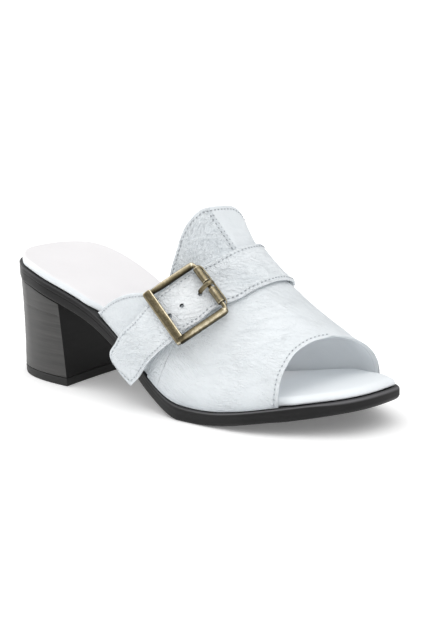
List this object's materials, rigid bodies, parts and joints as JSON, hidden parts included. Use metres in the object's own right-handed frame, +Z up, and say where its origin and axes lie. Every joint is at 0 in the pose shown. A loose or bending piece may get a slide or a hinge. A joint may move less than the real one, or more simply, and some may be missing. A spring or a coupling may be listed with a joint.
{
  "type": "block-heel mule",
  "caption": "Right-foot leather mule with a block heel, open toe, standing tongue and a buckled strap over the instep.",
  "frame": {"origin": "on the floor, under the middle of the bounding box", "axes": "+X from heel to toe, +Y to the medial side (towards the other foot), -Y to the lateral side with the buckle, +Z up; the heel's top piece and the tread stand on z = 0"},
  "size_m": [0.24, 0.0856, 0.1022],
  "materials": {
    "white_leather": "soft grained leather, satin",
    "insole_leather": "smooth leather, satin",
    "black_sole": "black, semi-matt",
    "stacked_heel": "dark streaked covering on a moulded heel",
    "heel_rubber": "black, matt",
    "aged_brass": "aged brass, semi-gloss"
  },
  "bodies": {
    "root": {"outsole": "black_sole", "midsole": "black_sole", "heel_block": "stacked_heel", "heel_top_piece": "heel_rubber", "insole": "insole_leather", "upper": "white_leather", "instep_strap": "white_leather", "quarter_panel": "white_leather", "buckle_frame": "aged_brass", "buckle_sleeve_upper": "aged_brass", "buckle_sleeve_lower": "aged_brass", "buckle_prong": "aged_brass"}
  },
  "joints": []
}
